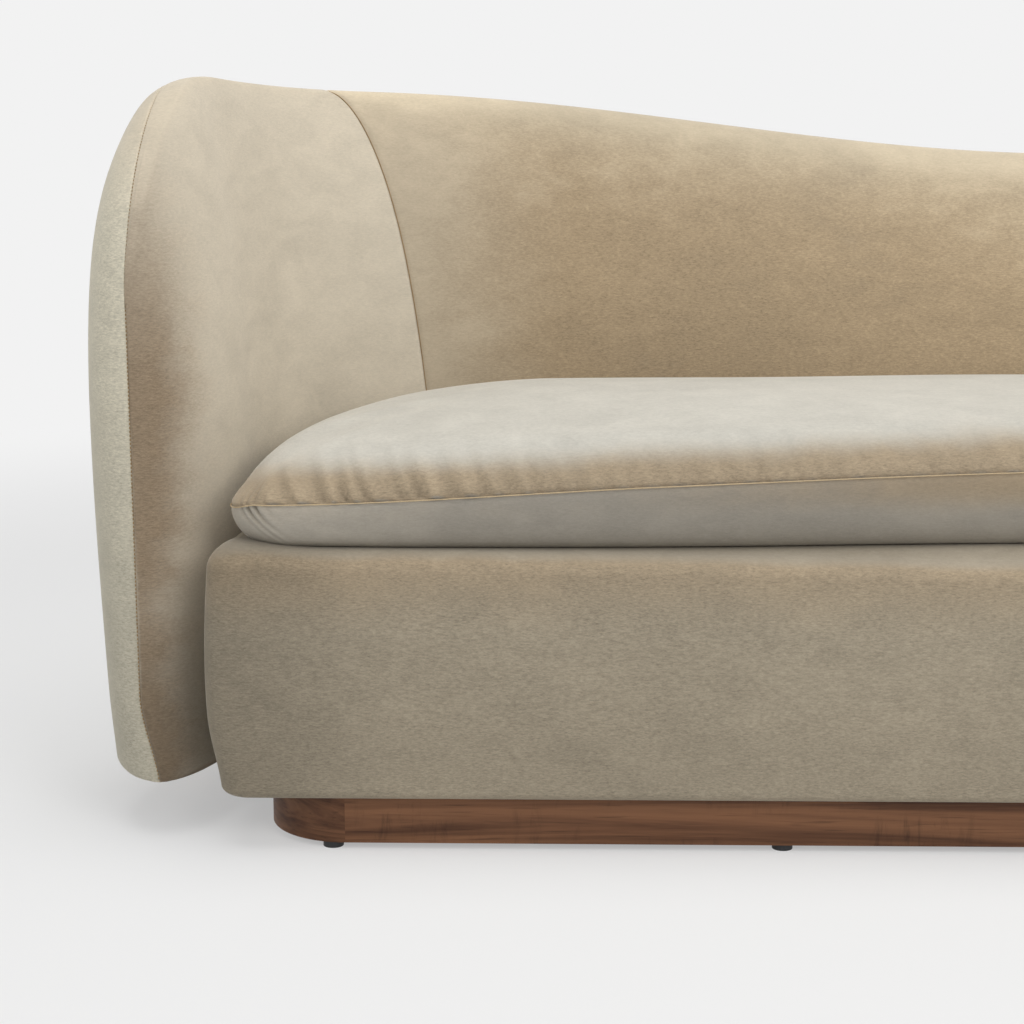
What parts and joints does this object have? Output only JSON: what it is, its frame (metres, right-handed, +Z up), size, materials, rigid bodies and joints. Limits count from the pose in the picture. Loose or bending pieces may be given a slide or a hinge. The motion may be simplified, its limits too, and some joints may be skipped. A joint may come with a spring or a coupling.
{
  "type": "curved sofa",
  "caption": "Upholstered sofa with one padded wall that curves round both arms and the back, a loose bench cushion and a recessed wooden plinth.",
  "frame": {"origin": "on the floor, in the middle of the footprint's box", "axes": "+X to the right of a person who faces the sofa's front, +Y towards its back, +Z up"},
  "size_m": [2.4502, 0.85, 0.8161],
  "materials": {
    "velvet_wall": "velvet, brushed pile",
    "velvet_box": "velvet, brushed pile",
    "velvet_cushion": "velvet, brushed pile",
    "foam": "open-cell foam",
    "felt": "needled felt",
    "dust_cloth": "non-woven cloth",
    "hardboard": "hardboard",
    "frame_wood": "planed softwood",
    "walnut": "satin lacquer",
    "spring_steel": "bare steel",
    "screw_steel": "zinc plated",
    "glide_plastic": "black nylon",
    "zip_tape": "woven tape with coil",
    "zip_metal": "antique finish"
  },
  "bodies": {
    "sofa": {"arm_front_pad_left": "velvet_wall", "arm_front_pad_right": "velvet_wall", "deck_cloth": "velvet_box", "deck_felt": "felt", "deck_foam": "foam", "dust_cloth": "dust_cloth", "floor_glides": "glide_plastic", "inside_board_back": "hardboard", "inside_board_left": "hardboard", "inside_board_right": "hardboard", "inside_pad_back": "velvet_wall", "inside_pad_left": "velvet_wall", "inside_pad_right": "velvet_wall", "outside_board_back": "hardboard", "outside_board_left": "hardboard", "outside_board_right": "hardboard", "outside_pad_back": "velvet_wall", "outside_pad_left": "velvet_wall", "outside_pad_right": "velvet_wall", "plinth_battens": "frame_wood", "plinth_corner_left": "walnut", "plinth_corner_right": "walnut", "plinth_front_rail": "walnut", "plinth_rear_rail": "walnut", "plinth_screws": "screw_steel", "plinth_side_rail_left": "walnut", "plinth_side_rail_right": "walnut", "seat_corner_blocks": "frame_wood", "seat_front_pad": "velvet_box", "seat_front_rail": "frame_wood", "seat_rear_rail": "frame_wood", "seat_side_pad_left": "foam", "seat_side_pad_right": "foam", "seat_side_rail_left": "frame_wood", "seat_side_rail_right": "frame_wood", "seat_springs": "spring_steel", "seat_stretchers": "frame_wood", "spring_clips": "spring_steel", "tie_plate_screws": "screw_steel", "tie_plates": "spring_steel", "wall_bottom_rail_back": "frame_wood", "wall_bottom_rail_left": "frame_wood", "wall_bottom_rail_right": "frame_wood", "wall_rib_01": "frame_wood", "wall_rib_02": "frame_wood", "wall_rib_03": "frame_wood", "wall_rib_04": "frame_wood", "wall_rib_05": "frame_wood", "wall_rib_06": "frame_wood", "wall_rib_07": "frame_wood", "wall_rib_08": "frame_wood", "wall_rib_09": "frame_wood", "wall_top_rail_back": "frame_wood", "wall_top_rail_left": "frame_wood", "wall_top_rail_right": "frame_wood"},
    "seat_cushion": {"cushion_top_panel": "velvet_cushion", "cushion_bottom_panel": "velvet_cushion", "cushion_core": "foam", "zip_tape": "zip_tape"},
    "zip_slider": {"zip_slider": "zip_metal"}
  },
  "joints": [
    {"name": "cushion_lift", "type": "slide", "parent": "sofa", "child": "seat_cushion", "axis": [0, 0, 1], "range_m": [0, 0.5]},
    {"name": "zip_slide", "type": "hinge", "parent": "seat_cushion", "child": "zip_slider", "pos_m": [0, -1.983, 0.392], "axis": [0, 0, -1], "range_deg": [0, 23]}
  ]
}
